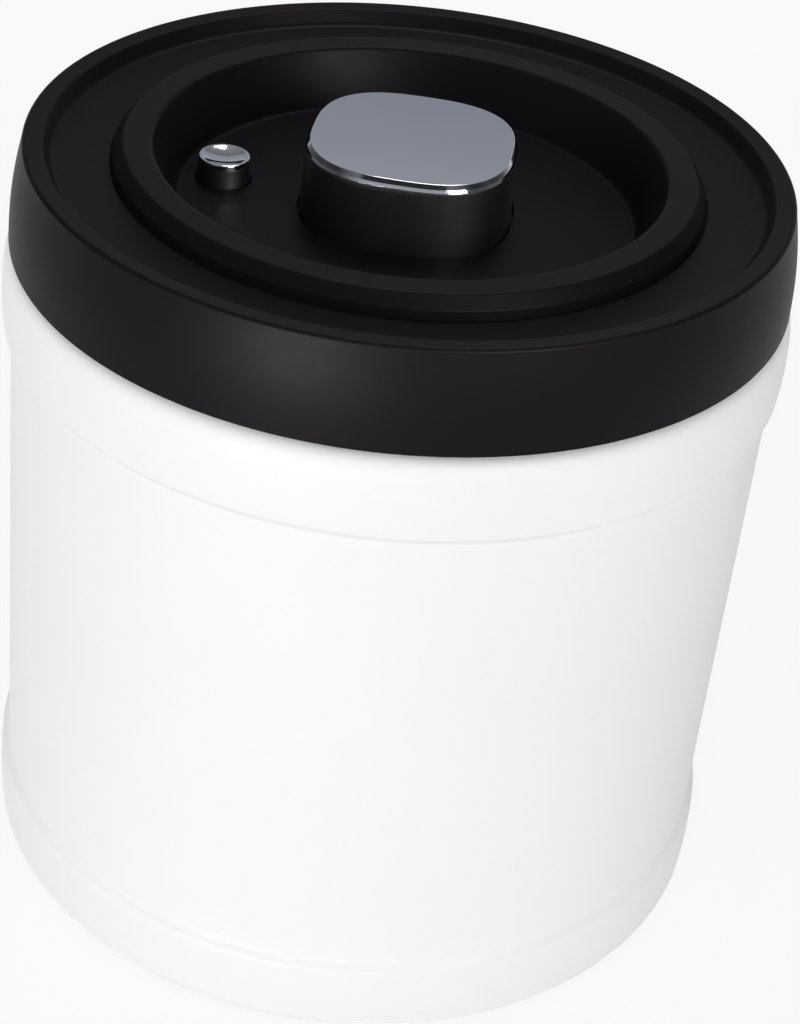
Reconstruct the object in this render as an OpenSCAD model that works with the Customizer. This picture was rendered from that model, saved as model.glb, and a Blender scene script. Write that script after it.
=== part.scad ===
// Round steel food canister with a push-pump vacuum lid.
// Millimetres, +Z up. The origin is the centre of the face that rests on the table.
// Pressing the big button pumps air out, and the small button lets it back in.

/* [Canister] */
// Outside diameter of the straight steel wall
wall_d = 125.2; // [121:0.2:150]
// Height of the lid's lower edge above the table
lid_edge_h = 113.2; // [90:0.2:180]
// Thickness of the formed steel
steel_t = 0.6; // [0.4:0.05:0.8]
// How far each raised band stands out from the wall
band_out = 1.4; // [0.8:0.1:2]
// How much each band swells at its middle
band_swell = 0.2; // [0.05:0.05:0.4]
// Height of the lower band above the round edge of the foot
low_band_h = 9.2; // [6:0.2:14]
// Height of the upper band below the shoulder
high_band_h = 7.6; // [5:0.2:14]
// Height of the soft step between a band and the wall
step_h = 4; // [2.5:0.1:6]
// Radius of the round edge at the foot
foot_round = 1.4; // [1:0.1:2]
// Height of the rounded shoulder under the lid
shoulder_h = 4.4; // [3:0.2:7]
// How far the neck stands in from the wall
neck_in = 3.6; // [3.4:0.1:5]
// Height of the lip above the lid's lower edge
lip_h = 7.8; // [7:0.1:8.4]
// Radius of the rolled lip
lip_r = 0.85; // [0.7:0.05:1]

/* [Base] */
// Height of the floor's underside above the table
floor_h = 3.2; // [2.4:0.1:6]
// Width of the seam between the foot and the base plate
seam_w = 3; // [2:0.1:4]
// How far the foot pad stands below the steel
pad_proud = 0.5; // [0.3:0.1:1]
// Width of the foot pad
pad_w = 7.5; // [4:0.5:20]

/* [Lid cover] */
// How far the skirt's lower edge stands out from the wall
lid_over = 0.4; // [0.2:0.1:1.5]
// Thickness of the moulding
cover_t = 2; // [1.6:0.1:2.2]
// Gap between the moulding and the flange of the lid base
cover_gap = 1.8; // [1.2:0.1:4]
// How far the skirt leans in at its top
skirt_lean = 1.9; // [0.8:0.1:2.3]
// How far the skirt bows out at its middle
skirt_bow = 0.5; // [0.2:0.1:1]
// Radius of the rim's round outer edge
rim_round = 1.2; // [0.8:0.1:2]
// Radius of the rim's round inner edge
rim_in_round = 0.4; // [0.2:0.1:0.8]
// Width of the rim's top between its round edges
rim_flat = 1.7; // [1:0.1:2.5]
// How much lower the rim's top lies at its inner edge
rim_fall = 0.3; // [0:0.1:0.6]
// Depth of the trough below the rim's top
trough_depth = 2.6; // [2.2:0.1:3.5]
// How much lower the trough lies at its inner edge
trough_fall = 0.8; // [0.2:0.1:1]
// Width of the raised ring's top
ring_w = 4.5; // [3.5:0.1:6]
// How far the ring's top stands above the trough
ring_rise = 2.65; // [2.4:0.05:4]
// Depth of the well below the ring's top
well_depth = 9.25; // [7.6:0.05:9.9]
// How far the well's wall leans in at its foot
well_lean = 4; // [2:0.1:5]

/* [Push button] */
// Width of the button across its flat sides
button_w = 33.6; // [33:0.2:40]
// How square the button looks from above, where 2 is round
button_power = 2.7; // [2.2:0.1:4]
// Height of the button's top above the well floor
button_rise = 12; // [10.4:0.1:13]
// How far the button travels
button_travel = 8.5; // [6:0.1:8.9]
// Gap all round the button in the well floor
button_gap = 0.3; // [0.2:0.05:0.5]
// Thickness of the button's side wall
button_wall = 1.5; // [1.2:0.1:1.7]
// Thickness of the chrome plate
plate_t = 1.5; // [1.2:0.1:2]
// Width of the bevel round the chrome plate's top
bevel_w = 0.6; // [0.3:0.1:1]
// Height of that bevel
bevel_h = 0.8; // [0.3:0.1:1]

/* [Pump] */
// Bore of the pump cylinder
bore_d = 25; // [23:0.1:25.4]
// Wall thickness of the pump cylinder
cylinder_wall = 1.5; // [1.2:0.1:1.7]
// Thickness of the cylinder's floor
cylinder_floor = 1.8; // [1.4:0.1:2.4]
// Height of the piston
piston_h = 3.5; // [3.2:0.1:4.5]
// Thickness of the piston ring
piston_ring_t = 1.46; // [1.2:0.02:1.6]
// Wire diameter of the pump spring
pump_wire = 0.8; // [0.6:0.05:1]
// Turns of the pump spring
pump_turns = 5; // [4:1:6]
// Diameter of the inlet valve's disc
inlet_d = 10.6; // [9.6:0.2:13]
// Diameter of the exhaust flap
flap_d = 17; // [15.4:0.2:20]
// Depth of the dust screen below the cylinder
screen_drop = 3.8; // [3.6:0.1:6]
// Thickness of the dust screen
screen_t = 1.2; // [0.8:0.1:1.4]
// Diameter of a hole in the dust screen
screen_hole_d = 1.4; // [0.8:0.1:1.6]

/* [Release button] */
// Distance from the side of the push button to the middle of the release button
release_space = 13.15; // [12.3:0.05:14]
// Distance from there to the foot of the well's wall
release_in = 6.95; // [6.2:0.05:8]
// Diameter of the release button
release_d = 8.3; // [7.2:0.1:8.5]
// Height of the release button's top above the well floor
release_rise = 4; // [2.4:0.1:5]
// How far the release button travels
release_travel = 2; // [1:0.1:2.1]
// Gap all round the release button in the well floor
release_gap = 0.45; // [0.2:0.05:0.6]
// Depth of the dish in the chrome cap
dish_depth = 0.6; // [0.2:0.05:0.8]
// Wire diameter of the release spring
release_wire = 0.5; // [0.4:0.05:0.6]
// Turns of the release spring
release_turns = 5; // [4:1:6]

/* [Lid base] */
// Thickness of the deck
deck_t = 2; // [1.6:0.1:2.6]
// Thickness of the plug's wall
plug_t = 2.2; // [1.9:0.1:2.4]
// Gap between the plug and the inside of the neck
plug_gap = 1.1; // [0.8:0.1:1.6]
// Thickness of the flange that sits on the lip
flange_t = 2; // [1.4:0.1:2.4]
// Height of the gasket
gasket_h = 4.6; // [3.5:0.1:5.2]
// Number of fins on the gasket
gasket_fins = 3; // [2:1:3]

/* [Fasteners] */
// Number of screws through the lid base
lid_screw_count = 6; // [4:1:8]
// How far those screws stand in from the outside of the plug
lid_screw_in = 7.3; // [6:0.1:8.5]
// Thread diameter of the lid and piston screws
screw_d = 2.9; // [2.5:0.1:3.1]
// Thread diameter of the pump screws
small_screw_d = 2.4; // [2:0.1:2.6]

/* [Hidden] */

// Colours
coat_white = "whitesmoke";
bare_steel = "silver";
chrome = "lightsteelblue";
lid_black = "#2a282c";
base_grey = "dimgray";
pump_white = "ivory";
silicone = "lightgray";

// Facets, overruns and the depth by which joined shapes sink into each other
smooth = 128;
small_smooth = 32;
arc_steps = 8;
curve_steps = 10;
button_points = 72;
wire_sides = 6;
wire_steps = 16;
cut_over = 1;
sink = 0.5;
slice_t = 0.02;

// Named clearances
slide_gap = 0.05;
soft_gap = 0.3;
seat_gap = 0.2;
edge_gap = 0.6;
part_gap = 0.5;

// Canister
wall_r = wall_d / 2;
band_edge_r = wall_r + band_out - band_swell;
lid_r = wall_r + lid_over;
skirt_in_r = lid_r - cover_t;
neck_r = wall_r - neck_in;
neck_inner_r = neck_r - steel_t;
neck_round = 0.8;
shoulder_z = lid_edge_h - edge_gap;
shoulder_foot_z = shoulder_z - shoulder_h;
high_band_z = shoulder_foot_z - high_band_h;
lip_z = lid_edge_h + lip_h;
foot_z = pad_proud;
low_band_z = foot_z + foot_round;
low_band_top = low_band_z + low_band_h;
turn_in_r = band_edge_r - foot_round - seam_w;

// Base plate and foot pad
seam_z = foot_z + steel_t;
seam_r = band_edge_r - foot_round - slide_gap;
riser_r = turn_in_r - part_gap;
floor_top = floor_h + steel_t;
pad_r = riser_r - steel_t - slide_gap;
pad_edge = 0.3;

// Lid cover
skirt_top_r = lid_r - skirt_lean;
skirt_edge = 0.3;
flange_z = lip_z + seat_gap;
flange_top = flange_z + flange_t;
trough_under = flange_top + cover_gap;
trough_z = trough_under + cover_t;
rim_top = trough_z + trough_depth;
skirt_rise = rim_top - rim_round - lid_edge_h;
rim_in_r = skirt_top_r - rim_round - rim_flat - rim_in_round;
rim_in_lean = 0.8;
rim_in_z = rim_top - rim_fall;
trough_r = rim_in_r - rim_in_lean;
trough_round = 1.2;
release_off = button_w / 2 + release_space;
well_foot_r = release_off + release_in;
well_top_r = well_foot_r + well_lean;
well_round = 0.8;
ring_r = well_top_r + ring_w;
ring_lean = 1.85;
ring_foot_r = ring_r + ring_lean;
ring_foot_z = trough_z - trough_fall;
ring_step_h = 1.5;
ring_step_lean = 0.25;
ring_z = trough_z + ring_rise;
ring_round = 0.5;
ring_in_round = 0.9;
well_z = ring_z - well_depth;
well_under = well_z - cover_t;

// Push button
button_r = button_w / 2;
plate_inset = 0.3;
plate_r = button_r - plate_inset;
stop_t = 1.2;
stop_w = 1.2;
roof_t = 2;
body_edge = 0.3;
button_top = well_z + button_rise;
plate_z = button_top - plate_t;
roof_under = plate_z - roof_t;
stop_z = well_under - slide_gap - stop_t;

// Screws
screw_r = screw_d / 2;
screw_head_r = 2.7;
screw_head_h = 1.6;
screw_len = 10;
screw_tip = 1.2;
small_screw_r = small_screw_d / 2;
small_head_r = 2.2;
small_head_h = 1.3;
thread_gap = 0.05;
pass_gap = 0.25;
cross_w = 0.6;
cross_share = 0.7;
lid_boss_r = 3.2;

// Lid base: the deck hangs below the lowest place of the button's stop
pump_boss_h = 1.8;
pump_boss_r = 2.8;
pump_boss_cap = 0.8;
pump_boss_top = stop_z - button_travel - part_gap;
deck_top = pump_boss_top - pump_boss_h;
deck_z = deck_top - deck_t;
plug_r = neck_inner_r - plug_gap;
lid_screw_r = plug_r - lid_screw_in;
groove_r = plug_r - plug_t / 2;
gasket_z = shoulder_z + 2 * neck_round;
gasket_top = gasket_z + gasket_h;
fin_r = neck_inner_r - soft_gap;

// Pump cylinder and its valve
bore_r = bore_d / 2;
cylinder_r = bore_r + cylinder_wall;
cylinder_gap = 0.2;
pump_flange_t = 1.6;
pump_flange_w = 4;
pump_flange_r = cylinder_r + pump_flange_w;
pump_flange_z = deck_z - pump_flange_t;
ear_r = 3.2;
ear_out = 7.5;
ear_off = cylinder_r + ear_out;
pump_screw_angles = [90, 210, 330];
piston_top = well_under - part_gap - part_gap;
piston_z = piston_top - piston_h;
cylinder_top = piston_top + soft_gap;
spring_spare = 1;
cylinder_floor_top = piston_z - button_travel - pump_wire * pump_turns - spring_spare;
cylinder_z = cylinder_floor_top - cylinder_floor;
inlet_r = inlet_d / 2;
inlet_rise = 0.9;
inlet_stem_r = 1.4;
inlet_bulb_r = 2;
inlet_bulb_h = 1.8;
dome_shares = [[0, 1], [0.35, 0.94], [0.7, 0.7], [1, 0.3]];
inlet_port_r = 0.8;
inlet_port_off = 3.6;
port_count = 6;
cord_r = 0.45;
cord_groove_r = cylinder_r + pump_flange_w / 2;

// Dust screen under the cylinder
screen_z = cylinder_z - screen_drop;
screen_top = pump_flange_z - part_gap;
screen_in_r = cylinder_r + slide_gap;
screen_r = screen_in_r + screen_t;
screen_ledge = 1;
screen_rows = 3;
screen_row_step = 3.6;

// Piston and what it carries
piston_gap = 0.2;
piston_r = bore_r - piston_gap;
ring_fit = 0.07;
ring_cord_r = piston_ring_t / 2;
ring_mid_r = bore_r - ring_fit - ring_cord_r;
ring_groove_r = ring_mid_r - ring_cord_r - slide_gap;
ring_mid_z = piston_z + piston_h / 2;
ring_groove_h = piston_ring_t + 2 * slide_gap;
exhaust_port_r = 0.9;
exhaust_port_off = 6.5;
flap_t = 0.6;
flap_r = flap_d / 2;
boss_r = 4.5;
boss_z = piston_top + flap_t;
piston_head_room = screw_head_h + 4 * slide_gap;
piston_screw_z = piston_z + piston_head_room;
piston_screw_len = 9;
pump_spring_r = 9.6;

// Release button
release_r = release_d / 2;
release_top = well_z + release_rise;
cap_t = 1.2;
cap_edge = 0.35;
cap_rim = 0.45;
cap_z = release_top - cap_t;
cap_lip_t = 0.55;
cap_lip_w = 0.6;
cap_lip_z = release_top - cap_lip_t;
cap_seat_r = release_r - cap_lip_w;
head_inset = 0.05;
head_flare = 0.2;
head_r = release_r - head_inset;
head_foot_r = head_r + head_flare;
release_spring_h = 8;
release_spring_r = 3.2;
head_z = deck_top + release_spring_h;
guide_r = release_r + release_gap;
guide_t = 1.2;
guide_z = head_z - release_travel - soft_gap;
shaft_r = 1.5;
air_hole_r = 2.6;
seal_r = 4.8;
seal_t = 1.4;
seal_z = deck_z - slide_gap - seal_t;
clip_t = 0.6;
clip_r = 3.2;
clip_neck_r = 1.1;
clip_slot = 1.6;
clip_z = seal_z - clip_t;
tail_h = 0.9;

// Points and outlines

function arc(c, r, from, to, n = arc_steps) = oval(c, r, r, from, to, n);

function oval(c, rx, rz, from, to, n = arc_steps) =
    [for (i = [0:n]) let (a = from + (to - from) * i / n) [c[0] + rx * cos(a), c[1] + rz * sin(a)]];

function reversed(list) = [for (i = [len(list) - 1:-1:0]) list[i]];

// A band's face, which swells between its two edges
function swell(z0, z1, r) =
    [for (i = [1:curve_steps - 1]) let (s = i / curve_steps)
        [r + band_swell * 4 * s * (1 - s), z0 + (z1 - z0) * s]];

// A soft step from one radius to another
function soft_step(z0, z1, r0, r1) =
    [for (i = [0:curve_steps]) let (s = i / curve_steps)
        [r0 + (r1 - r0) * (1 - cos(180 * s)) / 2, z0 + (z1 - z0) * s]];

// One side of the shell from the foot to the neck, set in by some thickness
function shell_side(inset) = concat(
    [[turn_in_r, foot_z + inset]],
    arc([band_edge_r - foot_round, low_band_z], foot_round - inset, -90, 0),
    swell(low_band_z, low_band_top, band_edge_r - inset),
    soft_step(low_band_top, low_band_top + step_h, band_edge_r - inset, wall_r - inset),
    soft_step(high_band_z - step_h, high_band_z, wall_r - inset, band_edge_r - inset),
    swell(high_band_z, shoulder_foot_z, band_edge_r - inset),
    oval([skirt_in_r, shoulder_foot_z], band_edge_r - skirt_in_r - inset, shoulder_h - inset, 0, 90),
    arc([neck_r + neck_round, shoulder_z + neck_round], neck_round + inset, 270, 180)
);

lip_start = -acos((steel_t - lip_r) / lip_r);

function shell_outline() = concat(
    shell_side(0),
    arc([neck_inner_r + lip_r, lip_z - lip_r], lip_r, lip_start, 180, 2 * arc_steps),
    reversed(shell_side(steel_t))
);

// The skirt's outside at a share of its height
function skirt_r(share) = lid_r - skirt_lean * share + skirt_bow * sin(180 * share);

function skirt_share(z) = (z - lid_edge_h) / skirt_rise;

function well_wall_r(z) = well_foot_r + well_lean * (z - well_z) / well_depth;

function cover_top() = concat(
    [[lid_r - skirt_edge, lid_edge_h], [lid_r, lid_edge_h + skirt_edge]],
    [for (i = [1:curve_steps - 1]) let (s = i / curve_steps) [skirt_r(s), lid_edge_h + skirt_rise * s]],
    arc([skirt_top_r - rim_round, rim_top - rim_round], rim_round, 0, 90),
    arc([rim_in_r + rim_in_round, rim_in_z - rim_in_round], rim_in_round, 90, 180),
    arc([trough_r - trough_round, trough_z + trough_round], trough_round, 0, -90),
    [[ring_foot_r, ring_foot_z], [ring_foot_r - ring_step_lean, ring_foot_z + ring_step_h]],
    arc([ring_r - ring_round, ring_z - ring_round], ring_round, 0, 90),
    arc([well_top_r + ring_in_round, ring_z - ring_in_round], ring_in_round, 90, 180),
    arc([well_foot_r - well_round, well_z + well_round], well_round, 0, -90),
    [[0, well_z]]
);

function cover_under() = concat(
    [[0, well_under], [well_wall_r(well_under) + cover_t, well_under]],
    [[well_wall_r(ring_foot_z - cover_t) + cover_t, ring_foot_z - cover_t]],
    [for (i = [curve_steps:-1:0]) let (s = skirt_share(trough_under) * i / curve_steps)
        [skirt_r(s) - cover_t, lid_edge_h + skirt_rise * s]]
);

flange_r = skirt_r(skirt_share(flange_top)) - cover_t - part_gap;

// Square with round sides and corners, given as half its width
function button_outline(r) =
    [for (i = [0:button_points - 1]) let (a = 360 * i / button_points)
        [r * sign(cos(a)) * pow(abs(cos(a)), 2 / button_power),
         r * sign(sin(a)) * pow(abs(sin(a)), 2 / button_power)]];

module button_prism(r, h) {
    linear_extrude(height = h)
        polygon(button_outline(r));
}

// The same prism with a round upper edge
module soft_button_prism(r, h, edge) {
    hull() {
        button_prism(r, h - edge);
        for (a = [30:30:90])
            translate([0, 0, h - edge + edge * sin(a) - slice_t])
                button_prism(r - edge + edge * cos(a), slice_t);
    }
}

// The same prism with a bevelled upper edge
module bevelled_button_prism(r, h, w, rise) {
    hull() {
        button_prism(r, h - rise);
        translate([0, 0, h - slice_t])
            button_prism(r - w, slice_t);
    }
}

module turned(points) {
    rotate_extrude($fn = smooth)
        polygon(points);
}

module round_hole(r, z, h) {
    translate([0, 0, z])
        cylinder(r = r, h = h, $fn = small_smooth);
}

module around(count, off) {
    for (i = [0:count - 1])
        rotate([0, 0, 360 * i / count])
            translate([off, 0, 0])
                children();
}

module at_pump_screws() {
    for (a = pump_screw_angles)
        rotate([0, 0, a])
            translate([ear_off, 0, 0])
                children();
}

module at_release() {
    translate([-release_off, 0, 0])
        children();
}

// A pan-head screw that points up, with the face under its head at z = 0
module pan_screw(r, length, head_r, head_h) {
    difference() {
        rotate_extrude($fn = small_smooth)
            polygon(concat(
                [[0, -head_h]],
                oval([head_r - head_h, 0], head_h, head_h, -90, 0),
                [[r, 0], [r, length - screw_tip], [0, length]]
            ));
        for (a = [0, 90])
            rotate([0, 0, a])
                translate([-head_r / 2, -cross_w / 2, -head_h - cut_over])
                    cube([head_r, cross_w, cut_over + head_h * cross_share]);
    }
}

// A coil spring between two heights, as one unbroken wire
module coil(r, wire, turns, z0, z1) {
    steps = turns * wire_steps;
    wire_r = wire / 2;
    low = z0 + wire_r + slide_gap;
    rise = z1 - z0 - wire - 2 * slide_gap;
    points = [for (i = [0:steps]) for (j = [0:wire_sides - 1])
        let (a = 360 * i / wire_steps, b = 360 * j / wire_sides, reach = r + wire_r * cos(b))
        [reach * cos(a), reach * sin(a), low + rise * i / steps + wire_r * sin(b)]];
    sides = [for (i = [0:steps - 1]) for (j = [0:wire_sides - 1])
        let (k = (j + 1) % wire_sides, p = i * wire_sides, q = p + wire_sides)
        each [[p + j, q + j, q + k], [p + j, q + k, p + k]]];
    last = steps * wire_sides;
    caps = [for (j = [1:wire_sides - 2])
        each [[0, j, j + 1], [last, last + j + 1, last + j]]];
    polyhedron(points = points, faces = concat(sides, caps));
}

// Canister

module canister_body() {
    color(coat_white)
        turned(shell_outline());
}

module base_plate() {
    color(bare_steel)
        turned([
            [0, floor_h], [riser_r - steel_t, floor_h], [riser_r - steel_t, seam_z],
            [seam_r, seam_z], [seam_r, seam_z + steel_t], [riser_r, seam_z + steel_t],
            [riser_r, floor_top], [0, floor_top]
        ]);
}

module foot_pad() {
    color(silicone)
        turned([
            [pad_r - pad_w + pad_edge, 0], [pad_r - pad_edge, 0], [pad_r, pad_edge],
            [pad_r, floor_h], [pad_r - pad_w, floor_h], [pad_r - pad_w, pad_edge]
        ]);
}

// Lid

module lid_cover() {
    color(lid_black)
        difference() {
            union() {
                turned(concat(cover_top(), cover_under()));
                around(lid_screw_count, lid_screw_r)
                    round_hole(lid_boss_r, deck_top, trough_under - deck_top + sink);
                at_release()
                    round_hole(guide_r + guide_t, guide_z, well_under - guide_z + sink);
            }
            translate([0, 0, well_under - cut_over])
                button_prism(button_r + button_gap, cover_t + 2 * cut_over);
            at_release()
                round_hole(guide_r, guide_z - cut_over, well_z - guide_z + 2 * cut_over);
            around(lid_screw_count, lid_screw_r)
                round_hole(screw_r + thread_gap, deck_top - cut_over, screw_len + cut_over - deck_t + sink);
        }
}

module lid_base() {
    color(base_grey)
        difference() {
            union() {
                turned([
                    [0, deck_z], [plug_r, deck_z], [plug_r, gasket_z], [groove_r, gasket_z],
                    [groove_r, gasket_top], [plug_r, gasket_top], [plug_r, flange_z],
                    [flange_r, flange_z], [flange_r, flange_top], [plug_r - plug_t, flange_top],
                    [plug_r - plug_t, deck_top], [0, deck_top]
                ]);
                at_pump_screws()
                    round_hole(pump_boss_r, deck_top - sink, pump_boss_h + sink);
            }
            round_hole(cylinder_r + cylinder_gap, deck_z - cut_over, deck_t + 2 * cut_over);
            at_release()
                round_hole(air_hole_r, deck_z - cut_over, deck_t + 2 * cut_over);
            around(lid_screw_count, lid_screw_r)
                round_hole(screw_r + pass_gap, deck_z - cut_over, deck_t + 2 * cut_over);
            at_pump_screws()
                round_hole(small_screw_r + thread_gap, deck_z - cut_over,
                    deck_t + pump_boss_h - pump_boss_cap + cut_over);
        }
}

module lid_gasket() {
    fin_step = (gasket_h - 2 * slide_gap) / gasket_fins;
    low = gasket_z + slide_gap;
    color(silicone)
        turned(concat(
            [[groove_r + slide_gap, low]],
            [for (i = [0:gasket_fins - 1]) each [
                [plug_r, low + fin_step * i],
                [fin_r, low + fin_step * (i + 1 / 2)],
                [plug_r, low + fin_step * (i + 3 / 4)]
            ]],
            [[plug_r, gasket_top - slide_gap], [groove_r + slide_gap, gasket_top - slide_gap]]
        ));
}

module lid_screws() {
    color(bare_steel)
        around(lid_screw_count, lid_screw_r)
            translate([0, 0, deck_z])
                pan_screw(screw_r, screw_len, screw_head_r, screw_head_h);
}

// Pump

module pump_cylinder() {
    color(pump_white)
        difference() {
            union() {
                turned([
                    [0, cylinder_z], [cylinder_r, cylinder_z], [cylinder_r, pump_flange_z],
                    [pump_flange_r, pump_flange_z], [pump_flange_r, deck_z], [cylinder_r, deck_z],
                    [cylinder_r, cylinder_top], [bore_r, cylinder_top], [bore_r, cylinder_floor_top],
                    [0, cylinder_floor_top]
                ]);
                at_pump_screws() {
                    round_hole(ear_r, pump_flange_z, pump_flange_t);
                    translate([-ear_out + sink, -ear_r, pump_flange_z])
                        cube([ear_out - sink, 2 * ear_r, pump_flange_t]);
                }
            }
            at_pump_screws()
                round_hole(small_screw_r + thread_gap, pump_flange_z - cut_over,
                    pump_flange_t + 2 * cut_over);
            round_hole(inlet_stem_r + slide_gap, cylinder_z - cut_over, cylinder_floor + 2 * cut_over);
            around(port_count, inlet_port_off)
                round_hole(inlet_port_r, cylinder_z - cut_over, cylinder_floor + 2 * cut_over);
            turned([
                [cord_groove_r - cord_r - slide_gap, deck_z - 2 * cord_r - 2 * slide_gap],
                [cord_groove_r + cord_r + slide_gap, deck_z - 2 * cord_r - 2 * slide_gap],
                [cord_groove_r + cord_r + slide_gap, deck_z + cut_over],
                [cord_groove_r - cord_r - slide_gap, deck_z + cut_over]
            ]);
        }
}

module cylinder_ring() {
    color(silicone)
        translate([0, 0, deck_z - cord_r - slide_gap])
            rotate_extrude($fn = smooth)
                translate([cord_groove_r, 0])
                    circle(r = cord_r, $fn = small_smooth);
}

module pump_screws() {
    color(bare_steel)
        at_pump_screws()
            translate([0, 0, pump_flange_z])
                pan_screw(small_screw_r, pump_boss_top - pump_boss_cap - pump_flange_z - cylinder_gap,
                    small_head_r, small_head_h);
}

module inlet_valve() {
    color(silicone)
        turned(concat(
            [[0, cylinder_z - inlet_bulb_h], [inlet_stem_r / 2, cylinder_z - inlet_bulb_h]],
            [[inlet_bulb_r, cylinder_z], [inlet_stem_r, cylinder_z], [inlet_stem_r, cylinder_floor_top]],
            [[inlet_r, cylinder_floor_top]],
            [for (p = reversed(dome_shares))
                [inlet_r * p[0], cylinder_floor_top + inlet_rise * p[1]]]
        ));
}

module dust_screen() {
    color(base_grey)
        difference() {
            turned([
                [0, screen_z], [screen_r, screen_z], [screen_r, screen_top],
                [screen_in_r, screen_top], [screen_in_r, cylinder_z],
                [screen_in_r - screen_ledge, cylinder_z],
                [screen_in_r - screen_ledge, screen_z + screen_t], [0, screen_z + screen_t]
            ]);
            for (row = [1:screen_rows])
                around(row * port_count, row * screen_row_step)
                    round_hole(screen_hole_d / 2, screen_z - cut_over, screen_t + 2 * cut_over);
        }
}

module pump_spring() {
    color(bare_steel)
        coil(pump_spring_r, pump_wire, pump_turns, cylinder_floor_top, piston_z);
}

// Push button

module button_plate() {
    color(chrome)
        translate([0, 0, plate_z])
            bevelled_button_prism(plate_r, plate_t, bevel_w, bevel_h);
}

module button_body() {
    color(lid_black)
        difference() {
            union() {
                difference() {
                    union() {
                        translate([0, 0, stop_z])
                            soft_button_prism(button_r, plate_z - stop_z, body_edge);
                        translate([0, 0, stop_z])
                            button_prism(button_r + stop_w, stop_t);
                    }
                    translate([0, 0, stop_z - cut_over])
                        button_prism(button_r - button_wall, roof_under - stop_z + cut_over);
                }
                round_hole(boss_r, boss_z, roof_under - boss_z + sink);
            }
            round_hole(screw_r + thread_gap, boss_z - cut_over,
                cut_over + piston_screw_len + sink - boss_z + piston_screw_z);
        }
}

module pump_piston() {
    color(pump_white)
        difference() {
            turned([
                [0, piston_z], [piston_r, piston_z], [piston_r, ring_mid_z - ring_groove_h / 2],
                [ring_groove_r, ring_mid_z - ring_groove_h / 2],
                [ring_groove_r, ring_mid_z + ring_groove_h / 2],
                [piston_r, ring_mid_z + ring_groove_h / 2], [piston_r, piston_top], [0, piston_top]
            ]);
            round_hole(screw_r + thread_gap, piston_z - cut_over, piston_h + 2 * cut_over);
            round_hole(screw_head_r + pass_gap, piston_z - cut_over, piston_head_room + cut_over);
            around(port_count, exhaust_port_off)
                round_hole(exhaust_port_r, piston_z - cut_over, piston_h + 2 * cut_over);
        }
}

module piston_ring() {
    color(silicone)
        translate([0, 0, ring_mid_z])
            rotate_extrude($fn = smooth)
                translate([ring_mid_r, 0])
                    circle(r = ring_cord_r, $fn = small_smooth);
}

module exhaust_flap() {
    color(silicone)
        turned([
            [screw_r + thread_gap, piston_top], [flap_r, piston_top],
            [flap_r, boss_z], [screw_r + thread_gap, boss_z]
        ]);
}

module piston_screw() {
    color(bare_steel)
        translate([0, 0, piston_screw_z])
            pan_screw(screw_r, piston_screw_len, screw_head_r, screw_head_h);
}

// Release button

module release_cap() {
    dish_r = release_r - cap_rim;
    color(chrome)
        at_release()
            turned(concat(
                [[0, cap_z], [cap_seat_r, cap_z], [cap_seat_r, cap_lip_z], [release_r, cap_lip_z]],
                arc([release_r - cap_edge, release_top - cap_edge], cap_edge, 0, 90),
                [for (i = [0:curve_steps]) let (s = i / curve_steps)
                    [dish_r * (1 - s), release_top - dish_depth * (1 - pow(1 - s, 2))]]
            ));
}

module release_stem() {
    color(lid_black)
        at_release()
            turned([
                [0, clip_z - tail_h], [shaft_r, clip_z - tail_h], [shaft_r, clip_z],
                [clip_neck_r, clip_z], [clip_neck_r, seal_z], [shaft_r, seal_z],
                [shaft_r, head_z], [head_foot_r, head_z], [head_foot_r, well_z],
                [head_r, cap_lip_z], [cap_seat_r + slide_gap, cap_lip_z],
                [cap_seat_r + slide_gap, cap_z], [0, cap_z]
            ]);
}

module release_seal() {
    color(silicone)
        at_release()
            turned([
                [shaft_r + slide_gap, seal_z], [seal_r, seal_z],
                [seal_r, seal_z + seal_t], [shaft_r + slide_gap, seal_z + seal_t]
            ]);
}

module release_clip() {
    color(bare_steel)
        at_release()
            difference() {
                turned([
                    [clip_neck_r + slide_gap, clip_z], [clip_r, clip_z],
                    [clip_r, seal_z], [clip_neck_r + slide_gap, seal_z]
                ]);
                translate([0, -clip_slot / 2, clip_z - cut_over])
                    cube([clip_r + cut_over, clip_slot, clip_t + 2 * cut_over]);
            }
}

module release_spring() {
    color(bare_steel)
        at_release()
            coil(release_spring_r, release_wire, release_turns, deck_top, head_z);
}

canister_body();
base_plate();
foot_pad();
lid_cover();
lid_base();
lid_gasket();
lid_screws();
pump_cylinder();
cylinder_ring();
pump_screws();
inlet_valve();
dust_screen();
pump_spring();
button_plate();
button_body();
pump_piston();
piston_ring();
exhaust_flap();
piston_screw();
release_cap();
release_stem();
release_seal();
release_clip();
release_spring();
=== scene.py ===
import math

import bmesh
import bpy
from mathutils import Matrix, Vector

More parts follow.
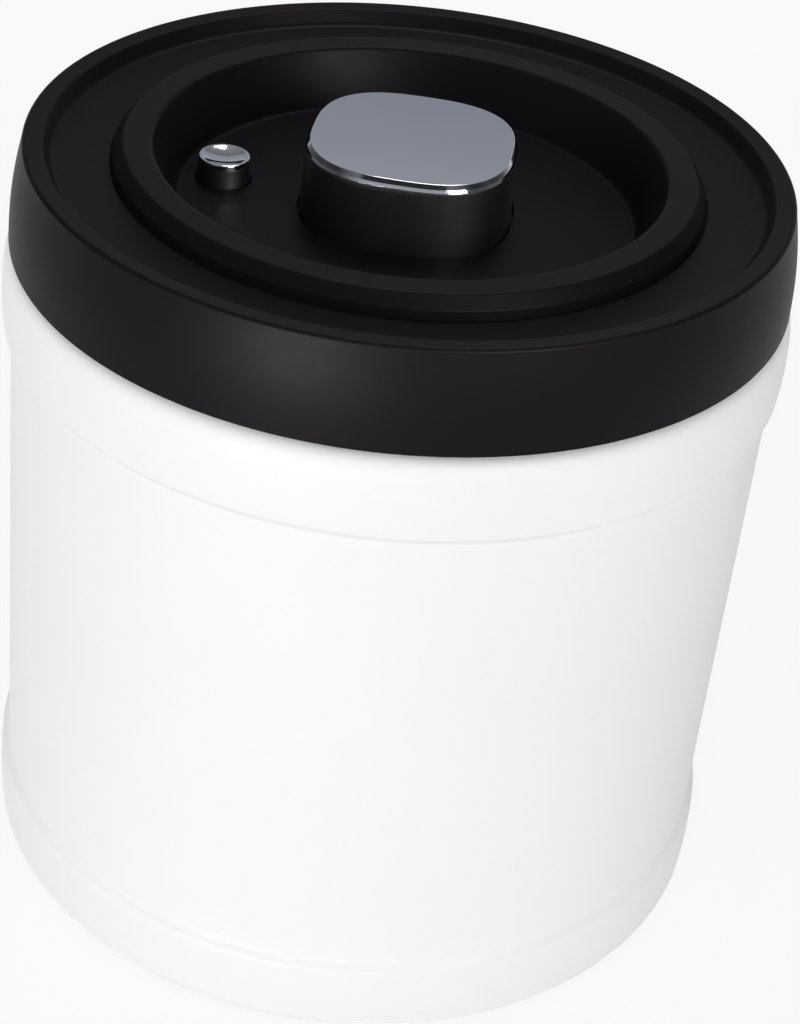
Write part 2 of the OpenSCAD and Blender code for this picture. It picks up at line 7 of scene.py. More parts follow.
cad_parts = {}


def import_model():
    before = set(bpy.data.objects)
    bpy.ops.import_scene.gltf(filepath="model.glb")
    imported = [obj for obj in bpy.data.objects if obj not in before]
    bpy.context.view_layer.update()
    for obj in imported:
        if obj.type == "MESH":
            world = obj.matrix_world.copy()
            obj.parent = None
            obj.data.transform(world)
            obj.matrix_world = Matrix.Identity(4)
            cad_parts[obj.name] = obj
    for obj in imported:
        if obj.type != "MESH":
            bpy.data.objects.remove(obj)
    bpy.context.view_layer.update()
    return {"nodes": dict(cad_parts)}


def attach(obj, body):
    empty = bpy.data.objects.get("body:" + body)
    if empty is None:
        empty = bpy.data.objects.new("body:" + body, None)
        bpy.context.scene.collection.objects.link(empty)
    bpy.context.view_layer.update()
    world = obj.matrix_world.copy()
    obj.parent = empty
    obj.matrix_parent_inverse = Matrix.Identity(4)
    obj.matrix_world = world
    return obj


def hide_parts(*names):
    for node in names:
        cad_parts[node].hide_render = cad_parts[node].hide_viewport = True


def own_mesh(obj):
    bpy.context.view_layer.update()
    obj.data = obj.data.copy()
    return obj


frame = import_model()
nodes = frame["nodes"]
mm = 0.001
tiny = 1e-6
print("frame loaded with", len(nodes), "nodes")


# Outlines are lists of (radius, height) in millimetres

def oval(centre, radiusX, radiusZ, start, end, steps=8):
    points = []
    for step in range(steps + 1):
        angle = math.radians(start + (end - start) * step / steps)
        points.append((centre[0] + radiusX * math.cos(angle), centre[1] + radiusZ * math.sin(angle)))
    return points


def arc(centre, radius, start, end, steps=8):
    return oval(centre, radius, radius, start, end, steps)


def rounded(corners, steps=5):
    # each corner is (radius, height) or (radius, height, fillet), and a fillet becomes an arc
    # with a short support stretch at both ends, which keeps the flat faces flat when smooth
    support = 0.08
    mostOfSide = 0.48
    points = []
    count = len(corners)
    for i, corner in enumerate(corners):
        here = Vector(corner[:2])
        fillet = corner[2] if len(corner) > 2 else 0
        if not fillet:
            points.append(tuple(here))
            continue
        back = Vector(corners[(i - 1) % count][:2]) - here
        ahead = Vector(corners[(i + 1) % count][:2]) - here
        half = back.angle(ahead) / 2
        reach = min(fillet / math.tan(half), mostOfSide * back.length, mostOfSide * ahead.length)
        fillet = reach * math.tan(half)
        back.normalize()
        ahead.normalize()
        centre = here + (back + ahead).normalized() * fillet / math.sin(half)
        first = here + back * reach - centre
        last = here + ahead * reach - centre
        points.append(tuple(centre + first + back * min(support, reach / 2)))
        turn = first.angle_signed(last)
        for step in range(steps + 1):
            angle = -turn * step / steps
            spoke = Vector((first.x * math.cos(angle) - first.y * math.sin(angle),
                            first.x * math.sin(angle) + first.y * math.cos(angle)))
            points.append(tuple(centre + spoke))
        points.append(tuple(centre + last + ahead * min(support, reach / 2)))
    return points


# Objects and their meshes

def newObject(name, data):
    made = bpy.data.objects.new(name, data)
    bpy.context.scene.collection.objects.link(made)
    return made


def settle(piece):
    # keeps the mesh that the modifiers make, and drops them
    graph = bpy.context.evaluated_depsgraph_get()
    result = bpy.data.meshes.new_from_object(piece.evaluated_get(graph))
    piece.modifiers.clear()
    piece.data = result


def facingOut(piece, merge=False):
    work = bmesh.new()
    work.from_mesh(piece.data)
    if merge:
        bmesh.ops.remove_doubles(work, verts=work.verts, dist=tiny)
    bmesh.ops.recalc_face_normals(work, faces=work.faces)
    if work.calc_volume(signed=True) < 0:
        bmesh.ops.reverse_faces(work, faces=work.faces)
    work.to_mesh(piece.data)
    work.free()


def combine(piece, tool, operation):
    # cuts the tool out of the piece, or joins it on, and removes the tool
    modifier = piece.modifiers.new("combine", "BOOLEAN")
    modifier.operation = operation
    modifier.solver = "EXACT"
    modifier.object = tool
    settle(piece)
    bpy.data.objects.remove(tool)


def shadeByAngle(piece, degrees=32):
    # smooth faces, sharp edges past the angle, and normals led by the large faces
    piece.data.shade_smooth()
    piece.data.set_sharp_from_angle(angle=math.radians(degrees))
    modifier = piece.modifiers.new("weighted", "WEIGHTED_NORMAL")
    modifier.keep_sharp = True
    settle(piece)


def shadeLevels(piece, degrees=32):
    # smooth walls and fillets, while every level face keeps its own normal
    upright = 0.9999
    work = bmesh.new()
    work.from_mesh(piece.data)
    for face in work.faces:
        face.smooth = True
    for edge in work.edges:
        levels = {abs(face.normal.z) > upright for face in edge.link_faces}
        edge.smooth = len(levels) == 1 and edge.calc_face_angle(0) < math.radians(degrees)
    work.to_mesh(piece.data)
    work.free()


def seat(piece, body, replaced):
    piece.data.name = piece.name
    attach(piece, body)
    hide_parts(*replaced)


# Node trees

def add(tree, kind, feeds=None, **settings):
    made = tree.nodes.new(kind)
    for key, value in settings.items():
        setattr(made, key, value)
    for key, value in (feeds or {}).items():
        if isinstance(value, bpy.types.NodeSocket):
            tree.links.new(value, made.inputs[key])
        else:
            made.inputs[key].default_value = value
    return made


def out(tree, kind, feeds=None, **settings):
    # the first output of a new node
    return add(tree, kind, feeds, **settings).outputs[0]


def calc(tree, operation, *values):
    feeds = dict(enumerate(values))
    return out(tree, "ShaderNodeMath", feeds, operation=operation)


def ranged(tree, value, low, high, fromLow=0.3, fromHigh=0.7):
    return out(tree, "ShaderNodeMapRange", {
        "Value": value, "From Min": fromLow, "From Max": fromHigh,
        "To Min": low, "To Max": high})


def parts(tree, vector):
    return add(tree, "ShaderNodeSeparateXYZ", {0: vector}).outputs


def offAxis(tree, place):
    # distance from the Z axis
    squares = [calc(tree, "POWER", place[k], 2.0) for k in (0, 1)]
    return calc(tree, "SQRT", calc(tree, "ADD", *squares))


def xyz(tree, feeds):
    return out(tree, "ShaderNodeCombineXYZ", feeds)


def circle(tree, steps, radius):
    return out(tree, "GeometryNodeCurvePrimitiveCircle", {
        "Resolution": steps, "Radius": radius}, mode="RADIUS")


def newTree(name, inputs):
    tree = bpy.data.node_groups.new(name, "GeometryNodeTree")
    tree.is_modifier = True
    tree.interface.new_socket("Geometry", in_out="OUTPUT", socket_type="NodeSocketGeometry")
    tree.interface.new_socket("Geometry", in_out="INPUT", socket_type="NodeSocketGeometry")
    for label, kind in inputs.items():
        tree.interface.new_socket(label, in_out="INPUT", socket_type="NodeSocket" + kind)
    return tree, tree.nodes.new("NodeGroupInput").outputs


def endTree(tree, geometry, material):
    real = out(tree, "GeometryNodeRealizeInstances", {0: geometry})
    painted = out(tree, "GeometryNodeSetMaterial", {"Geometry": real, "Material": material})
    output = tree.nodes.new("NodeGroupOutput")
    tree.links.new(painted, output.inputs[0])


def grow(name, mesh, tree, values):
    # puts the tree on a new object, sets its inputs by identifier and keeps the plain result
    piece = newObject(name, mesh)
    modifier = piece.modifiers.new(tree.name, "NODES")
    modifier.node_group = tree
    for item in tree.interface.items_tree:
        if item.in_out == "INPUT" and item.name in values:
            modifier[item.identifier] = values[item.name]
    settle(piece)
    piece.data.name = name
    return piece


def turningTree():
    # turns the object's own outline about Z, with a square plan where Squareness is over 2
    leastReach = 1e-7
    tree, given = newTree("turning", {
        "Segments": "Int", "Path Radius": "Float", "Squareness": "Float",
        "Round Core": "Float", "Centre": "Vector", "Material": "Material",
    })
    profile = out(tree, "GeometryNodeMeshToCurve", {"Mesh": given["Geometry"]})
    path = circle(tree, given["Segments"], given["Path Radius"])
    wall = out(tree, "GeometryNodeCurveToMesh", {
        "Curve": path, "Profile Curve": profile})
    merged = out(tree, "GeometryNodeMergeByDistance", {"Geometry": wall, "Distance": tiny})
    place = parts(tree, out(tree, "GeometryNodeInputPosition"))
    power = given["Squareness"]
    reach = offAxis(tree, place)
    safe = calc(tree, "MAXIMUM", reach, leastReach)
    shares = [calc(tree, "POWER", calc(tree, "ABSOLUTE", calc(tree, "DIVIDE", place[k], safe)), power)
              for k in (0, 1)]
    stretch = calc(tree, "POWER", calc(tree, "ADD", *shares), calc(tree, "DIVIDE", -1.0, power))
    core = given["Round Core"]
    beyond = ranged(tree, reach, 0.0, 1.0, core, calc(tree, "ADD", core, tiny))
    factor = calc(tree, "ADD", 1.0, calc(tree, "MULTIPLY", beyond, calc(tree, "SUBTRACT", stretch, 1.0)))
    squared = xyz(tree, {
        0: calc(tree, "MULTIPLY", place[0], factor),
        1: calc(tree, "MULTIPLY", place[1], factor), 2: place[2]})
    moved = out(tree, "GeometryNodeSetPosition", {
        "Geometry": merged, "Position": squared, "Offset": given["Centre"]})
    smooth = out(tree, "GeometryNodeSetShadeSmooth", {"Geometry": moved})
    endTree(tree, smooth, given["Material"])
    return tree


turning = turningTree()


def turned(name, outline, material, segments=192, power=2.0, core=0.0, centre=(0, 0, 0)):
    # an outline that starts and ends on the axis stays open, any other one is closed
    pathRadius = 50
    onAxis = abs(outline[0][0]) < tiny and abs(outline[-1][0]) < tiny
    points = [((r - pathRadius) * mm, -z * mm, 0) for r, z in outline]
    edges = [(i, i + 1) for i in range(len(points) - 1)]
    if not onAxis:
        edges.append((len(points) - 1, 0))
    mesh = bpy.data.meshes.new(name)
    mesh.from_pydata(points, edges, [])
    piece = grow(name, mesh, turning, {
        "Segments": segments, "Path Radius": pathRadius * mm, "Squareness": power,
        "Round Core": core * mm, "Centre": Vector(centre) * mm, "Material": material})
    facingOut(piece)
    return piece


# Materials. A finish's colour is also its light tone, unless it names another one. Its noises are
# (scale, detail), and depth is the height of its bump in metres.

def newMaterial(name, colour, sockets):
    material = bpy.data.materials.new(name)
    material.use_nodes = True
    material.diffuse_color = (*colour, 1)
    tree = material.node_tree
    shader = tree.nodes["Principled BSDF"]
    shader.inputs["Base Color"].default_value = (*colour, 1)
    for label, value in sockets.items():
        shader.inputs[label].default_value = value
    return material, tree, shader


def objectPlace(tree):
    return add(tree, "ShaderNodeTexCoord").outputs["Object"]


def aroundAxis(tree, swing):
    # coordinates that run round the Z axis, for brushing and turning marks
    place = parts(tree, objectPlace(tree))
    angle = calc(tree, "MULTIPLY", calc(tree, "ARCTAN2", place[1], place[0]), swing)
    return xyz(tree, {0: offAxis(tree, place), 1: place[2], 2: angle})


def noise(tree, vector, scale, detail):
    return add(tree, "ShaderNodeTexNoise", {
        "Vector": vector, "Scale": scale, "Detail": detail}).outputs["Fac"]


def blended(tree, factor, low, high):
    # a colour between two, each of them a plain colour or a socket
    mix = add(tree, "ShaderNodeMix", {"Factor": factor}, data_type="RGBA")
    for slot, colour in ((6, low), (7, high)):
        if isinstance(colour, tuple):
            mix.inputs[slot].default_value = (*colour, 1)
        else:
            tree.links.new(colour, mix.inputs[slot])
    return mix.outputs[2]


def roughened(tree, shader, vector, values):
    # patches of roughness and a fine bump
    patches = noise(tree, vector, *values["patches"])
    tree.links.new(ranged(tree, patches, *values["roughness"]), shader.inputs["Roughness"])
    made = out(tree, "ShaderNodeBump", {
        "Height": noise(tree, vector, *values["grain"]), "Distance": values["depth"],
        "Strength": values["strength"]})
    tree.links.new(made, shader.inputs["Normal"])


dust = {"cells": 150.0, "chosen": 0.97, "size": 0.018, "colour": (0.25, 0.25, 0.27)}


def dusty(tree, base):
    # a few grains of dust, each in its own cell
    cell = add(tree, "ShaderNodeTexVoronoi", {
        "Vector": objectPlace(tree), "Scale": dust["cells"], "Randomness": 1.0})
    chosen = calc(tree, "GREATER_THAN", parts(tree, cell.outputs["Color"])[0], dust["chosen"])
    close = calc(tree, "LESS_THAN", cell.outputs["Distance"], dust["size"])
    return blended(tree, calc(tree, "MULTIPLY", chosen, close), base, dust["colour"])


def finish(name, values):
    # two close tones in soft clouds, over patches of roughness and a fine bump
    material, tree, shader = newMaterial(name, values["colour"], values["sockets"])
    swing = values.get("swing")
    vector = aroundAxis(tree, swing) if swing else objectPlace(tree)
    cloud = ranged(tree, noise(tree, vector, *values["cloud"]), 0.0, 1.0)
    base = blended(tree, cloud, values["shade"], values.get("light", values["colour"]))
    if values.get("dusty"):
        base = dusty(tree, base)
    tree.links.new(base, shader.inputs["Base Color"])
    roughened(tree, shader, vector, values)
    return material


whiteCoat = {
    "colour": (0.875, 0.875, 0.875), "shade": (0.86, 0.86, 0.862), "roughness": (0.42, 0.52),
    "cloud": (22, 2.0), "patches": (60, 4.0), "grain": (900, 2.0), "depth": 0.000012, "strength": 0.6,
    "sockets": {"Roughness": 0.46, "Specular IOR Level": 0.12},
}
lidGrain = {
    "cloud": (35, 3.0), "patches": (500, 2.0), "grain": (6000, 2.0), "depth": 0.000012, "strength": 0.5,
}
blackPlastic = {
    **lidGrain, "dusty": True,
    "colour": (0.0076, 0.0057, 0.0076), "shade": (0.0066, 0.005, 0.0067), "roughness": (0.44, 0.465),
    "sockets": {"Roughness": 0.45, "Specular IOR Level": 0.055},
}
buttonPlastic = {
    **lidGrain,
    "colour": (0.0042, 0.0038, 0.0045), "shade": (0.0036, 0.0032, 0.0038), "roughness": (0.39, 0.415),
    "sockets": {"Roughness": 0.4, "Specular IOR Level": 0.9},
}
greyPlastic = {
    **lidGrain, "patches": (2600 / 12, 2.0), "grain": (2600, 2.0),
    "colour": (0.045, 0.045, 0.047), "shade": (0.037, 0.037, 0.039), "roughness": (0.41, 0.435),
    "sockets": {"Roughness": 0.42, "Specular IOR Level": 0.34},
}
turnedSteel = {
    "colour": (0.60, 0.60, 0.60), "shade": (0.50, 0.50, 0.51), "roughness": (0.22, 0.38), "swing": 0.0012,
    "cloud": (2600, 3.0), "patches": (2600, 3.0), "grain": (2600, 3.0), "depth": 0.000006, "strength": 0.4,
    "sockets": {"Metallic": 1.0, "Roughness": 0.3, "Anisotropic": 0.5},
}
fastenerSteel = {
    "colour": (0.52, 0.52, 0.53), "shade": (0.44, 0.44, 0.45), "light": (0.56, 0.56, 0.57),
    "roughness": (0.28, 0.42),
    "cloud": (900, 3.0), "patches": (900, 3.0), "grain": (3000, 2.0), "depth": 0.000006, "strength": 0.4,
    "sockets": {"Metallic": 1.0, "Roughness": 0.34},
}
pumpPlastic = {
    "colour": (0.80, 0.79, 0.75), "shade": (0.76, 0.75, 0.705), "light": (0.81, 0.80, 0.765),
    "roughness": (0.32, 0.42),
    "cloud": (60, 3.0), "patches": (300, 3.0), "grain": (1600, 2.0), "depth": 0.00001, "strength": 0.4,
    "sockets": {"Roughness": 0.36, "Subsurface Weight": 0.08, "Subsurface Scale": 0.002},
}
siliconeRubber = {
    "colour": (0.70, 0.71, 0.71), "shade": (0.66, 0.67, 0.67), "light": (0.72, 0.73, 0.73),
    "roughness": (0.46, 0.58),
    "cloud": (90, 3.0), "patches": (500, 3.0), "grain": (2200, 2.0), "depth": 0.00001, "strength": 0.5,
    "sockets": {"Roughness": 0.52, "Subsurface Weight": 0.15, "Subsurface Scale": 0.0015,
                "Sheen Weight": 0.1},
}
chromePlate = {
    "colour": (0.74, 0.75, 0.77), "roughness": (0.05, 0.11), "patches": (55, 4.0), "grain": (120, 1.0),
    "depth": 0.000004, "strength": 0.5, "sockets": {"Metallic": 1.0, "Roughness": 0.06},
}


def chromeFinish():
    # one colour all over, with a little haze and wave
    material, tree, shader = newMaterial("chrome plate", chromePlate["colour"], chromePlate["sockets"])
    roughened(tree, shader, objectPlace(tree), chromePlate)
    return material


whiteSatin = finish("white coat", whiteCoat)
lidBlack = finish("black plastic", blackPlastic)
buttonBlack = finish("button plastic", buttonPlastic)
baseGrey = finish("grey plastic", greyPlastic)
chrome = chromeFinish()
ringSteel = finish("brushed steel", turnedSteel)
screwSteel = finish("fastener steel", fastenerSteel)
pumpWhite = finish("natural plastic", pumpPlastic)
silicone = finish("milky silicone", siliconeRubber)
print("materials made")


# Canister shell, base panel and foot

canister = {
    "wall": 62.6, "bandOut": 1.2, "bandSwell": 0.2, "steel": 0.6,
    "foot": 0.5, "footRound": 1.4, "lowBand": 10.5, "step": 2.0,
    "highBand": 8.4, "shoulder": 4.4, "shoulderTop": 112.6, "seamWidth": 3.0,
    "skirtInside": 61.0, "neck": 59.0, "neckRound": 0.8,
    "lipTop": 121.0, "lipRadius": 0.85, "lipSteps": 16, "bandSteps": 12, "segments": 256,
    "coatOver": 0.6, "footTop": 10, "footTurn": 0.7, "insideTurn": -0.05,
}


def swell(low, high, radius):
    steps = canister["bandSteps"]
    return [(radius + canister["bandSwell"] * 4 * s * (1 - s), low + (high - low) * s)
            for s in (k / steps for k in range(1, steps))]


def softStep(low, high, first, last):
    steps = canister["bandSteps"]
    return [(first + (last - first) * (1 - math.cos(math.pi * s)) / 2, low + (high - low) * s)
            for s in (k / steps for k in range(steps + 1))]


def shellSide(inset):
    c = canister
    band = c["wall"] + c["bandOut"]
    lowBand = c["foot"] + c["footRound"]
    lowTop = lowBand + c["lowBand"]
    shoulderFoot = c["shoulderTop"] - c["shoulder"]
    highBand = shoulderFoot - c["highBand"]
    shoulderWidth = band - c["skirtInside"] - inset
    neckCentre = (c["neck"] + c["neckRound"], c["shoulderTop"] + c["neckRound"])
    return (
        [(band - c["footRound"] - c["seamWidth"], c["foot"] + inset)]
        + arc((band - c["footRound"], lowBand), c["footRound"] - inset, -90, 0)
        + swell(lowBand, lowTop, band - inset)
        + softStep(lowTop, lowTop + c["step"], band - inset, c["wall"] - inset)
        + softStep(highBand - c["step"], highBand, c["wall"] - inset, band - inset)
        + swell(highBand, shoulderFoot, band - inset)
        + oval((c["skirtInside"], shoulderFoot), shoulderWidth, c["shoulder"] - inset, 0, 90, c["bandSteps"])
        + arc(neckCentre, c["neckRound"] + inset, 270, 180)
    )


def shellOutline():
    c = canister
    inside = c["neck"] - c["steel"]
    lip = c["lipRadius"]
    lipStart = -math.degrees(math.acos((c["steel"] - lip) / lip))
    return (shellSide(0)
            + arc((inside + lip, c["lipTop"] - lip), lip, lipStart, 180, c["lipSteps"])
            + shellSide(c["steel"])[::-1])


def paintInside(piece, material):
    # the coat covers the outside up to the shoulder, and the rest is bare steel
    c = canister
    coatTop = c["shoulderTop"] + c["coatOver"]
    piece.data.materials.append(material)
    for face in piece.data.polygons:
        middle = face.center
        outward = Vector((middle.x, middle.y, 0)).normalized()
        outside = face.normal.dot(outward)
        if middle.z < c["footTop"] * mm:
            outside -= c["footTurn"] * face.normal.z
        if outside < c["insideTurn"] or middle.z > coatTop * mm:
            face.material_index = 1


shell = turned("canister_shell", shellOutline(), whiteSatin, canister["segments"])
paintInside(shell, ringSteel)
seat(shell, "canister", ["canister_body"])

panel = {
    "floor": 3.2, "steel": 0.6, "riser": 58.9, "seam": 62.3, "seamHeight": 1.1,
    "innerRound": 0.3, "footRound": 0.5, "seamRound": 0.4, "topRound": 0.8,
}


def panelOutline():
    p = panel
    inner = p["riser"] - p["steel"]
    seamTop = p["seamHeight"] + p["steel"]
    top = p["floor"] + p["steel"]
    return rounded([
        (0, p["floor"]), (inner, p["floor"], p["innerRound"]), (inner, p["seamHeight"], p["footRound"]),
        (p["seam"], p["seamHeight"]), (p["seam"], seamTop), (p["riser"], seamTop, p["seamRound"]),
        (p["riser"], top, p["topRound"]), (0, top)])


basePanel = turned("base_panel", panelOutline(), ringSteel)
seat(basePanel, "canister", ["base_plate"])

foot = {
    "outer": 58.2, "inner": 50.8, "height": 3.15, "topRound": 0.2, "lowRound": 0.4,
    "grooves": 3, "grooveWidth": 0.8, "grooveDepth": 0.35, "grooveEdge": 0.1, "grooveRound": 0.15,
}


def footOutline():
    f = foot
    corners = [(f["inner"], f["height"], f["topRound"]), (f["inner"], 0, f["lowRound"])]
    pitch = (f["outer"] - f["inner"]) / (f["grooves"] + 1)
    for k in range(f["grooves"]):
        middle = f["inner"] + pitch * (k + 1)
        low, high = middle - f["grooveWidth"] / 2, middle + f["grooveWidth"] / 2
        corners += [(low, 0, f["grooveEdge"]), (low, f["grooveDepth"], f["grooveRound"]),
                    (high, f["grooveDepth"], f["grooveRound"]), (high, 0, f["grooveEdge"])]
    corners += [(f["outer"], 0, f["lowRound"]), (f["outer"], f["height"], f["topRound"])]
    return rounded(corners, 4)


footRing = turned("foot_ring", footOutline(), silicone)
seat(footRing, "canister", ["foot_pad"])
print("canister made")


# Lid cover

cover = {
    "edge": 113.2, "edgeRadius": 63.0, "edgeRound": 0.25, "thickness": 2.0,
    "skirtLean": 1.9, "skirtBow": 0.5, "skirtSteps": 14, "insideSteps": 8, "segments": 256,
    "rimTop": 129.6, "rimRound": 0.7, "rimFall": 0.3, "rimIn": 57.8, "rimInRound": 0.45,
    "trough": 127.0, "troughRadius": 56.35, "troughRound": 1.3,
    "grooveWidth": 0.22, "grooveDepth": 0.4, "grooveEdge": 0.06, "grooveRound": 0.05,
    "ringFoot": 126.2, "ringFootRadius": 47.25, "ringStep": 1.5, "ringStepLean": 0.25, "ringStepRound": 0.3,
    "ringTop": 129.65, "ringRadius": 45.4, "ringRound": 0.5, "ringInRound": 0.9,
    "wellTop": 40.9, "wellFoot": 36.9, "wellFloor": 120.4, "wellRound": 0.8,
    "openingHalf": 17.05, "openingPower": 2.7, "holeRound": 0.12, "holeSegments": 128,
    "releaseX": -29.95, "releaseHole": 4.55, "guideWall": 1.2, "guideFoot": 112.05, "guideSegments": 64,
    "bossRadius": 3.2, "bossHole": 1.5, "bossRing": 50.0, "bossCount": 6, "bossFoot": 106.35,
    "bossSunk": 0.6, "bossSegments": 32,
}


def skirtRadius(share):
    return cover["edgeRadius"] - cover["skirtLean"] * share + cover["skirtBow"] * math.sin(math.pi * share)


def coverOutline():
    c = cover
    skirtTop = c["rimTop"] - c["rimRound"]
    rimCentre = (c["edgeRadius"] - c["skirtLean"] - c["rimRound"], skirtTop)
    shares = [k / c["skirtSteps"] for k in range(1, c["skirtSteps"])]
    outside = [(skirtRadius(s), c["edge"] + (skirtTop - c["edge"]) * s) for s in shares]
    edge = [(c["edgeRadius"] - c["thickness"], c["edge"]),
            (c["edgeRadius"], c["edge"], c["edgeRound"]), outside[0]]
    under = c["trough"] - c["thickness"]
    underShare = (under - c["edge"]) / (skirtTop - c["edge"])
    inside = [(skirtRadius(s * underShare) - c["thickness"], c["edge"] + (under - c["edge"]) * s)
              for s in (k / c["insideSteps"] for k in range(c["insideSteps"], -1, -1))]
    lowFloor = c["wellFloor"] - c["thickness"]
    lean = (c["wellTop"] - c["wellFoot"]) / (c["ringTop"] - c["wellFloor"])
    ringUnder = c["ringFoot"] - c["thickness"]
    groove = c["ringFootRadius"] + c["grooveWidth"]
    grooveFoot = c["ringFoot"] - c["grooveDepth"]
    return (
        rounded(edge)[1:-1]
        + outside
        + arc(rimCentre, c["rimRound"], 0, 90, c["skirtSteps"])
        + rounded([
            (rimCentre[0], c["rimTop"]),
            (c["rimIn"], c["rimTop"] - c["rimFall"], c["rimInRound"]),
            (c["troughRadius"], c["trough"], c["troughRound"]),
            (groove, c["ringFoot"], c["grooveEdge"]),
            (groove, grooveFoot, c["grooveRound"]), (c["ringFootRadius"], grooveFoot, c["grooveRound"]),
            (c["ringFootRadius"], c["ringFoot"]),
            (c["ringFootRadius"] - c["ringStepLean"], c["ringFoot"] + c["ringStep"], c["ringStepRound"]),
            (c["ringRadius"], c["ringTop"], c["ringRound"]),
            (c["wellTop"], c["ringTop"], c["ringInRound"]),
            (c["wellFoot"], c["wellFloor"], c["wellRound"]), (0, c["wellFloor"])])[1:]
        + [(0, lowFloor), (c["wellFoot"] - lean * c["thickness"] + c["thickness"], lowFloor),
           (c["wellFoot"] + lean * (ringUnder - c["wellFloor"]) + c["thickness"], ringUnder)]
        + inside
    )


wellUnder = cover["wellFloor"] - cover["thickness"]
release = (cover["releaseX"], 0, 0)


def flaredCutter(name, half, low, power, centre):
    # its upper end flares, so that the edge that it leaves in the well's floor is round
    flare, over, lift = cover["holeRound"], 3, 0.004
    z = cover["wellFloor"] + lift
    outline = ([(0, low), (half, low)]
               + arc((half + flare, z - flare), flare, 180, 90, 5)
               + [(half + flare, z + over), (0, z + over)])
    return turned(name, outline, lidBlack, cover["holeSegments"], power, 0, centre)


def addTube(piece, name, inner, outer, low, high, segments, centre):
    outline = [(inner, low), (outer, low), (outer, high), (inner, high)]
    combine(piece, turned(name, outline, lidBlack, segments, centre=centre), "UNION")


def drillCover(piece):
    # adds the guide of the release button and the screw bosses, and cuts the two openings
    c = cover
    sunk, below = 1, 2
    addTube(piece, "guide", 0, c["releaseHole"] + c["guideWall"], c["guideFoot"], wellUnder + sunk,
            c["guideSegments"], release)
    top = c["trough"] - c["thickness"] + c["bossSunk"]
    for k in range(c["bossCount"]):
        angle = 2 * math.pi * k / c["bossCount"]
        centre = (c["bossRing"] * math.cos(angle), c["bossRing"] * math.sin(angle), 0)
        addTube(piece, "boss", c["bossHole"], c["bossRadius"], c["bossFoot"], top, c["bossSegments"], centre)
    opening = flaredCutter("opening", c["openingHalf"], wellUnder - below, c["openingPower"], (0, 0, 0))
    combine(piece, opening, "DIFFERENCE")
    hole = flaredCutter("hole", c["releaseHole"], c["guideFoot"] - below, 2.0, release)
    combine(piece, hole, "DIFFERENCE")


lidCover = turned("lid_cover_shell", coverOutline(), lidBlack, cover["segments"])
drillCover(lidCover)
shadeByAngle(lidCover)
seat(lidCover, "lid", ["lid_cover"])
print("lid cover made")


# Push button

button = {
    "power": 2.7, "core": 8, "foot": 16.8, "footRound": 0.1, "top": 16.46, "topRound": 0.12,
    "stop": 18.0, "stopLow": 117.15, "stopThickness": 1.2, "stopRound": 0.2,
    "plateLow": 131.1, "wall": 1.5, "roof": 2.0, "roofRound": 0.5,
    "bossRadius": 4.5, "bossLow": 118.0, "bossRound": 0.4, "bossEdge": 0.2,
    "screwHole": 1.5, "screwEdge": 0.1, "screwEnd": 2, "segments": 256,
}


def buttonOutline():
    b = button
    roofUnder = b["plateLow"] - b["roof"]
    stopTop = b["stopLow"] + b["stopThickness"]
    holeTop = roofUnder - b["screwEnd"]
    return rounded([
        (0, b["plateLow"]), (b["top"], b["plateLow"], b["topRound"]), (b["foot"], stopTop, b["footRound"]),
        (b["stop"], stopTop, b["stopRound"]), (b["stop"], b["stopLow"], b["stopRound"]),
        (b["foot"] - b["wall"], b["stopLow"], b["stopRound"]),
        (b["top"] - b["wall"], roofUnder, b["roofRound"]),
        (b["bossRadius"], roofUnder, b["bossRound"]), (b["bossRadius"], b["bossLow"], b["bossEdge"]),
        (b["screwHole"], b["bossLow"], b["screwEdge"]), (b["screwHole"], holeTop), (0, holeTop),
    ], 4)


buttonShell = turned("button_shell", buttonOutline(), buttonBlack, button["segments"],
                     button["power"], button["core"])
seat(buttonShell, "push_button", ["button_body"])

plate = {
    "core": 6, "low": 131.1, "top": 132.4, "half": 16.5, "bandHeight": 0.6, "bandLean": 0.24,
    "bevel": 0.46, "bandRound": 0.3, "edge": 0.16, "lowEdge": 0.08, "crown": 0.05, "crownSteps": 8,
}


def plateOutline():
    # a leaning band, a bevel above it and a top that is crowned a little
    p = plate
    flat = p["half"] - p["bandLean"] - p["bevel"]
    rim = p["top"] - p["crown"]
    shares = [k / p["crownSteps"] for k in range(1, p["crownSteps"] + 1)]
    return rounded([
        (0, p["low"]), (p["half"], p["low"], p["lowEdge"]),
        (p["half"] - p["bandLean"], p["low"] + p["bandHeight"], p["bandRound"]), (flat, rim, p["edge"]),
    ] + [(flat * (1 - s), rim + p["crown"] * (1 - (1 - s) ** 2)) for s in shares], 6)


buttonCap = turned("button_cap", plateOutline(), chrome, button["segments"], button["power"], plate["core"])
seat(buttonCap, "push_button", ["button_plate"])
print("push button made")


# Release button

valve = {
    "capRadius": 4.15, "capLean": 0.02, "capRound": 0.32, "seatLow": 123.2, "seatRadius": 3.55,
    "seatRound": 0.1, "seatGap": 0.05, "seatEdge": 0.05, "lipLow": 123.55, "lipRound": 0.08, "capTop": 124.4,
    "dish": 0.6, "dishSteps": 16, "rim": 0.45, "headRadius": 4.1, "footRadius": 4.3, "floor": 120.4,
    "floorRound": 0.6, "headLow": 114.35, "shaft": 1.5, "shaftRound": 0.3, "tail": 101.4,
    "clipLow": 102.3, "sealLow": 102.9, "clipNeck": 1.1, "segments": 96,
}


